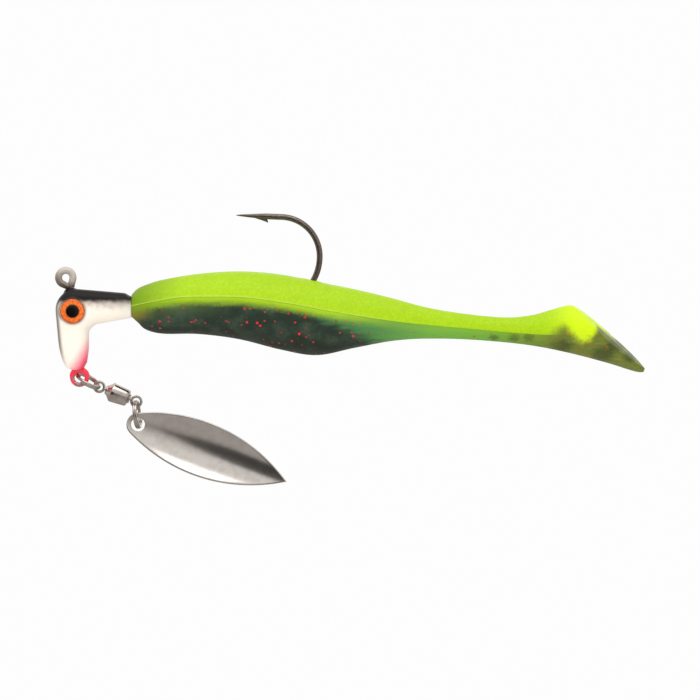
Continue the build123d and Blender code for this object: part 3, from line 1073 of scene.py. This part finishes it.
def nickel(name, light, shadow, grain_scale, rough, stretch=(1, 1, 1)):
    """Bright plated metal with fine rubbing marks and a little tarnish."""
    finish = Finish(name, Metallic=1.0)
    place = finish.place()
    marks = finish.noise(finish.stretched(place, *stretch), grain_scale, 4.0)
    tarnish = finish.noise(place, 0.55, 3.0)
    base = finish.mix(tarnish.ramp(0.35, 0.7), colour(light), colour(shadow))
    base = finish.mix(marks.ramp(0.6, 0.85) * 0.2, base, colour("7A726C"))
    finish.set(Base_Color=base, Roughness=rough + marks * 0.08)
    finish.bump(marks, 0.0015)
    return finish


ring_nickel = nickel("ring_nickel", "D2CBC4", "B5ABA2", 5.0, 0.12)
barrel_nickel = nickel("barrel_nickel", "D8D0CB", "BDB1AB", 4.0, 0.13, (4, 1, 4))
blade_nickel = nickel("blade_nickel", "DDD8D3", "D2CBC5", 5.0, 0.17, (0.4, 2, 2))


# dark clouds in the tail: where they are and how wide
dark_spots = (
    (74.2, -10.4, 0.8),
    (77.6, -10.4, 0.9),
    (80.2, -10.4, 0.9),
    (85.9, -11.9, 1.8),
    (90.8, -8.5, 1.1),
    (92.9, -13.3, 1.9),
    (95.0, -11.7, 1.7),
    (97.6, -13.7, 1.2),
)
# cells to a millimetre, the flakes' size, a shift of the pattern, and how many are left out
flake_layers = ((0.66, 0.27, 0.0, 0.38), (0.78, 0.20, 37.0, 0.45))


def bait_colours(name, back):
    """The soft plastic. Both pieces share the colours of the tail, where they run together."""
    finish = Finish(
        name,
        Subsurface_Weight=0.08,
        Subsurface_Radius=(0.9, 1.0, 0.35),
        Subsurface_Scale=0.0008,
        Coat_Weight=0.05,
        Coat_Roughness=0.22,
        IOR=1.40,
        Specular_IOR_Level=0.35,
    )
    place = finish.rest_place()
    x, _, z = finish.parts(place)
    below = finish.attribute("below_seam", "Fac")
    grain = finish.noise(place, 2.2, 5.0, 0.6)
    cloud = finish.noise(place, 0.35, 3.0)
    fine = finish.noise(place, 7.0, 3.0)
    streak = finish.noise(finish.stretched(place, 0.28, 1, 1.6), 1.0, 4.0)
    lime = finish.mix(grain.ramp(0.35, 0.65), colour("A7CF0A"), colour("B0DA12"))
    lime = finish.mix(cloud.ramp(0.45, 0.7) * 0.3, lime, colour("A2CB06"))
    # painted shade: the lime darkens towards the nose
    lime = finish.mix((1 - x.ramp(11.0, 22.0)) * 0.85, lime, colour("6E9212"))
    lime = finish.mix(x.ramp(82, 89) * 0.8, lime, colour("DCFA14"))
    # the tail's lower part is clear olive plastic with dark clouds in it
    olive = finish.mix(x.ramp(68, 87), colour("6CB03C"), colour("6F7A2A"))
    olive = finish.mix(streak.ramp(0.5, 0.75) * 0.4, olive, colour("8C9C40"))
    for spot_x, spot_z, size in dark_spots:
        away = (((x - spot_x) * 0.7) ** 2.0 + (z - spot_z) ** 2.0) ** 0.5
        blot = 1 - (away + (grain - 0.5) * 1.6).ramp(size * 0.3, size)
        olive = finish.mix(blot * 0.62, olive, colour("2C3A1E"))
    sway = x.near(86.3, 3.0) * 1.6 - x.near(89.6, 3.0) * 1.4 + x.ramp(90.6, 92.8) * 2.6
    depth = (cloud - 0.5) * 4 + (grain - 0.5) * 1.5 + sway - z
    paddle = x.ramp(82.0, 86.0) * depth.ramp(8.6, 11.4)
    # the sole's pale rim, and its back face beyond it
    past_rim = (x - 88.4) * 0.659 + (z + 5.2) * 0.752
    if back:
        seam_line = below.ramp(-0.28, -0.04) * (1 - x.ramp(48, 60))
        base = finish.mix(seam_line * 0.45, lime, colour("D6EE78"))
        base = finish.mix(paddle, base, olive)
    else:
        base = finish.mix(cloud.ramp(0.4, 0.7), colour("263629"), colour("3A4D3D"))
        base = finish.mix(fine.ramp(0.55, 0.8) * 0.3, base, colour("3E5A4A"))
        # painted shade: the belly darkens further below the parting line, towards its bottom
        base = finish.mix(below.ramp(3.5, 7.5) * 0.6, base, colour("22251E"))
        # the nose is olive, with a lighter patch behind it
        nose = (1 - x.ramp(12.0, 16.5)) * (1 - below.ramp(1.6, 3.4))
        base = finish.mix(nose * 0.85, base, colour("86801C"))
        patch = x.near(20, 9) * (below + (cloud - 0.5) * 1.5).near(1.9, 1.8)
        base = finish.mix(patch * 0.75, base, colour("52683A"))
        # the dark plastic ends in a feathered point under mid green
        front = x - 39.5 - (below - 1.0) * 3.4 + (streak - 0.5) * 10
        green = finish.mix(x.ramp(50, 66), colour("4B8648"), colour("74B244"))
        base = finish.mix(front.ramp(-1.0, 9.0), base, green)
        base = finish.mix((x + (cloud - 0.5) * 8).ramp(60, 70), base, olive)
        # the back's colour bleeds a little way down into the belly
        base = finish.mix((1 - paddle) * x.ramp(84, 87), base, lime)
        edge = below + (grain - 0.5) * 1.0 + (streak - 0.5) * 0.7
        bleed = (1 - edge.ramp(0.0, 2.0)) * (1 - x.ramp(46, 60) * 0.8) * (1 - x.ramp(82, 85))
        base = finish.mix(bleed * 0.95, base, lime)
    base = finish.mix(past_rim.ramp(0.02, 0.10) * (1 - x.ramp(92, 96.5)), base, lime)
    base = finish.mix(past_rim.near(-0.02, 0.09) * x.ramp(89, 91) * 0.6, base, colour("B9B986"))
    # red flakes are set in the plastic at different depths
    for scale, size, seed, share in flake_layers:
        cell = {"Vector": finish.moved(place, seed, seed, seed), "Scale": scale}
        distance = finish.node("TexVoronoi", None, cell, output="Distance") / scale
        pick, tint, _ = finish.parts(finish.node("TexVoronoi", None, cell, output="Color"))
        crowd = share - 0.25 * x.near(40, 14) + 0.2 * x.ramp(54, 62) - 0.25 * x.ramp(82, 88)
        shown = (pick - crowd).ramp(0.0, 0.04) * (1 - distance.ramp(size * 0.75, size))
        shown = shown * (paddle if back else below.ramp(0.7, 1.3))
        red = finish.mix(tint, colour("9A1420"), colour("EE2436"))
        base = finish.mix(shown * (0.6 + tint * 0.4), base, red)
    finish.set(Base_Color=base, Roughness=0.44 + fine * 0.12)
    finish.bump(fine * 0.3 + grain, 0.012)
    return finish


back_plastic = bait_colours("back_plastic", True)
belly_plastic = bait_colours("belly_plastic", False)

# ---------------------------------------------------------------- which piece is which

for piece, finish, slot, body, replaced in (
    (hook, hook_steel, "hook_steel", "root", "hook"),
    (head, head_paint, "head_paint", "root", "jig_head"),
    (eyelet, eyelet_paint, "eyelet_paint", "root", "spinner_eyelet"),
    (front_ring, ring_nickel, "ring_nickel", "front_ring", "front_split_ring"),
    (front_eye, ring_nickel, "ring_nickel", "front_eye", "swivel_front_eye"),
    (barrel, barrel_nickel, "barrel_nickel", "barrel", "swivel_barrel"),
    (rear_eye, ring_nickel, "ring_nickel", "rear_eye", "swivel_rear_eye"),
    (rear_ring, ring_nickel, "ring_nickel", "rear_ring", "rear_split_ring"),
    (blade, blade_nickel, "blade_nickel", "blade_body", "blade"),
):
    finish.on(piece, slot)
    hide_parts(replaced)
    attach(piece, body)

for iris, pupil in zip(irises, pupils):
    iris_foil.on(iris, "iris_paint")
    pupil_gloss.on(pupil, "pupil_paint")
    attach(iris, "root")
    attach(pupil, "root")

back_plastic.on(bait_back, "back_plastic")
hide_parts("bait_back", "tail_back")
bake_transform(bait_back)
belly_plastic.on(bait_belly, "belly_plastic")
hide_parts("bait_belly", "tail_belly")
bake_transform(bait_belly)

# ---------------------------------------------------------------- floor and lights

floor_radius = 0.84
floor_height = -0.135
nothing_selected()
bpy.ops.mesh.primitive_circle_add(
    vertices=96, radius=floor_radius, fill_type="NGON", location=(0.05, 0, floor_height)
)
floor = bpy.context.active_object
floor.name = "pale_floor"
bpy.ops.object.transform_apply(location=True, rotation=True, scale=True)
floor_finish = Finish("floor_white", Roughness=0.9)
soft = floor_finish.noise(floor_finish.node("TexCoord", output="Object"), 30.0)
floor_finish.set(Base_Color=floor_finish.mix(soft, colour("F4F3F1"), colour("F8F7F5")))
floor.data.materials.append(floor_finish.material)
floor.visible_glossy = False

# a white studio, grey underneath, with a dark strip on the near side that the blade mirrors
world = bpy.data.worlds.new("studio")
bpy.context.scene.world = world
world.use_nodes = True
sky = world.node_tree
sky.nodes.clear()


def sky_node(kind, output=0, **inputs):
    node = sky.nodes.new(kind)
    for key, value in inputs.items():
        put(sky, node.inputs[int(key[1:])], value)
    return Sum(sky, node.outputs[output])


way = sky_node("ShaderNodeTexCoord", "Generated")
apart = sky.nodes.new("ShaderNodeSeparateXYZ")
sky.links.new(way.socket, apart.inputs[0])
way_x, way_y, way_z = [Sum(sky, socket) for socket in apart.outputs]
lengthwise = way_x * 0.934 - way_z * 0.358
crosswise = way_x * 0.358 + way_z * 0.934 + 0.20
room_half = 0.36 * (1 - lengthwise.ramp(-0.10, 0.26))
room = (room_half - (crosswise * crosswise) ** 0.5).ramp(0.0, 0.09) * (0.0 - way_y).ramp(0.2, 0.5)
upper = way_z.ramp(-0.25, 0.35)
level = (0.56 + upper * 0.50) * (1 - room * 0.88)
seen = sky_node("ShaderNodeBackground", _0=(0.985, 0.985, 0.985, 1))
tint = sky_node("ShaderNodeCombineXYZ", _0=1.0, _1=upper * 0.04 + 0.945, _2=upper * 0.06 + 0.905)
lit = sky_node("ShaderNodeBackground", _0=tint, _1=level * 0.78)
seen_by_camera = sky_node("ShaderNodeLightPath", "Is Camera Ray")
chosen = sky_node("ShaderNodeMixShader", _0=seen_by_camera, _1=lit, _2=seen)
world_out = sky.nodes.new("ShaderNodeOutputWorld")
sky.links.new(chosen.socket, world_out.inputs[0])


def soft_light(name, place, target, width, height, watts, shiny=True):
    light = bpy.data.lights.new(name, "AREA")
    light.shape = "RECTANGLE"
    light.size, light.size_y, light.energy = width, height, watts
    lamp = bpy.data.objects.new(name, light)
    bpy.context.scene.collection.objects.link(lamp)
    lamp.location = place
    lamp.rotation_euler = (Vector(target) - Vector(place)).to_track_quat("-Z", "Y").to_euler()
    lamp.visible_camera = False
    lamp.visible_glossy = shiny


middle = (0.05, 0, -0.012)
soft_light("top_light", (0.02, -0.25, 0.55), middle, 0.7, 0.45, 1.2)
soft_light("near_light", (-0.25, -0.6, 0.18), middle, 0.35, 0.35, 1.35, shiny=False)
soft_light("far_light", (0.25, 0.55, 0.3), middle, 0.5, 0.4, 0.4)
